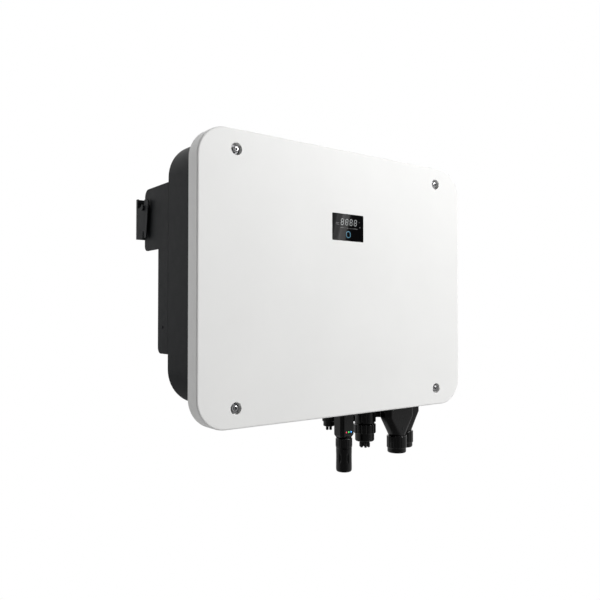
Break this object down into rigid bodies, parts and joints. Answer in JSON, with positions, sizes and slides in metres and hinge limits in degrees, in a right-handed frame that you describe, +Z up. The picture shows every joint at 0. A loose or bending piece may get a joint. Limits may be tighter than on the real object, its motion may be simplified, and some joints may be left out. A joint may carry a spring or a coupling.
{
  "type": "string inverter",
  "caption": "Wall-hung string inverter: flat rounded cover, sealed cast housing, finned heat sink, wall bracket, and cable connectors and a communication stick below.",
  "frame": {"origin": "centre of the wall bracket's bolt pattern, in the plane of the wall", "axes": "+Z up, +X to the right seen from the front, +Y into the wall; the cover faces -Y"},
  "size_m": [0.62, 0.245, 0.6035],
  "materials": {
    "cover_paint": "fine white powder coat",
    "body_paint": "dark grey powder coat",
    "sink_metal": "dark coated extrusion",
    "window_glass": "black gloss",
    "stainless": "satin stainless",
    "sheet_steel": "zinc plated",
    "black_plastic": "fine moulded grain",
    "grey_plastic": "fine moulded grain",
    "seal_rubber": "matt",
    "circuit_board": "solder mask over glass fibre",
    "capacitor_sleeve": "shrink sleeve, aluminium top",
    "film_case": "moulded case",
    "winding": "enamelled copper",
    "relay_case": "moulded case",
    "terminal_case": "moulded case",
    "module_case": "moulded power module",
    "thermal_pad": "soft pad",
    "lead_sheath": "cable sheath",
    "indicator": "lit light pipe"
  },
  "bodies": {
    "bracket": {"wall_bracket": "body_paint"},
    "inverter": {"housing": "body_paint", "cover_gasket": "seal_rubber", "breather_vent": "black_plastic", "earth_terminal": "stainless", "heat_sink": "sink_metal", "heat_sink_gasket": "seal_rubber", "rear_screws": "stainless", "left_hanger": "body_paint", "right_hanger": "body_paint", "hanger_pins": "body_paint", "power_board": "circuit_board", "board_standoffs": "stainless", "power_modules": "module_case", "thermal_pads": "thermal_pad", "dc_link_capacitors": "capacitor_sleeve", "filter_capacitors": "film_case", "boost_chokes": "winding", "filter_chokes": "winding", "grid_relays": "relay_case", "connection_board": "circuit_board", "ac_terminals": "terminal_case", "dc_leads": "lead_sheath", "shield_tray": "sheet_steel", "tray_pillars": "stainless", "control_board": "circuit_board", "display_board": "circuit_board", "display_module": "window_glass", "fan_frame": "black_plastic", "dc_switch_body": "grey_plastic", "dc_switch_plate": "grey_plastic", "solar_plus_sockets": "black_plastic", "solar_minus_sockets": "black_plastic", "battery_sockets": "black_plastic", "stick_socket": "black_plastic", "stick_body": "black_plastic", "stick_lights": "indicator", "stick_cap": "black_plastic", "com_socket": "black_plastic", "com_plug": "black_plastic", "com_seal": "seal_rubber", "aux_socket": "black_plastic", "aux_seal": "seal_rubber", "spare_port_cap": "black_plastic", "grid_shell": "black_plastic", "backup_shell": "black_plastic", "ac_seals": "seal_rubber"},
    "cover": {"front_cover": "cover_paint", "display_window": "window_glass", "cover_screws": "stainless", "cover_washers": "stainless"},
    "switch_knob": {"dc_switch_knob": "black_plastic"},
    "fan_wheel": {"fan_rotor": "black_plastic"},
    "stick_nut": {"stick_ring_nut": "black_plastic"},
    "com_clamp": {"com_nut": "black_plastic"},
    "aux_clamp": {"aux_nut": "black_plastic"},
    "grid_clamp": {"grid_nut": "black_plastic"},
    "backup_clamp": {"backup_nut": "black_plastic"}
  },
  "joints": [
    {"name": "bracket_lift", "type": "slide", "parent": "bracket", "child": "inverter", "axis": [0, 0, 1], "range_m": [0, 0.03]},
    {"name": "cover_removal", "type": "slide", "parent": "inverter", "child": "cover", "axis": [0, -1, 0], "range_m": [0, 0.25]},
    {"name": "switch_turn", "type": "hinge", "parent": "inverter", "child": "switch_knob", "pos_m": [-0.212, -0.173, -0.333], "axis": [0, 0, -1], "range_deg": [0, 90]},
    {"name": "fan_spin", "type": "hinge", "parent": "inverter", "child": "fan_wheel", "pos_m": [0, -0.175, -0.163], "axis": [0, 1, 0], "continuous": true},
    {"name": "stick_nut_turn", "type": "hinge", "parent": "inverter", "child": "stick_nut", "pos_m": [0.041, -0.185, -0.422], "axis": [0, 0, 1], "range_deg": [0, 720]},
    {"name": "com_nut_turn", "type": "hinge", "parent": "inverter", "child": "com_clamp", "pos_m": [0.112, -0.167, -0.407], "axis": [0, 0, 1], "range_deg": [0, 720]},
    {"name": "aux_nut_turn", "type": "hinge", "parent": "inverter", "child": "aux_clamp", "pos_m": [0.03, -0.153, -0.382], "axis": [0, 0, 1], "range_deg": [0, 720]},
    {"name": "grid_nut_turn", "type": "hinge", "parent": "inverter", "child": "grid_clamp", "pos_m": [0.23, -0.161, -0.437], "axis": [0, 0, 1], "range_deg": [0, 720]},
    {"name": "backup_nut_turn", "type": "hinge", "parent": "inverter", "child": "backup_clamp", "pos_m": [0.177, -0.193, -0.437], "axis": [0, 0, 1], "range_deg": [0, 720]}
  ]
}
